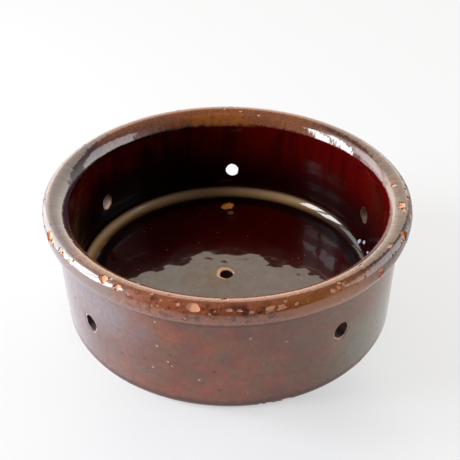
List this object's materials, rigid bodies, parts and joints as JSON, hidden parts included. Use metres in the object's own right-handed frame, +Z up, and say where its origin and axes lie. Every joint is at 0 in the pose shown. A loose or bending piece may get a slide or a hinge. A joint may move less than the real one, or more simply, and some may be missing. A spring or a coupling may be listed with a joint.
{
  "type": "cheese draining bowl",
  "caption": "Round wheel-thrown earthenware bowl with an upright wall, rolled rim, flat floor and sloping drain holes, brown-glazed over bare red clay, for draining fresh cheese.",
  "frame": {"origin": "centre of the underside, on the plane that the bowl stands on", "axes": "+Z up along the axis the bowl was turned about; -Y towards the viewer of the picture"},
  "size_m": [0.1678, 0.1678, 0.0611],
  "materials": {
    "clay": "unglazed red earthenware, matt",
    "inner_glaze": "deep red-brown glaze, glossy",
    "outer_glaze": "brown glaze, glossy, worn at the rim"
  },
  "bodies": {
    "root": {"clay_body": "clay", "inner_glaze": "inner_glaze", "outer_glaze": "outer_glaze"}
  },
  "joints": []
}
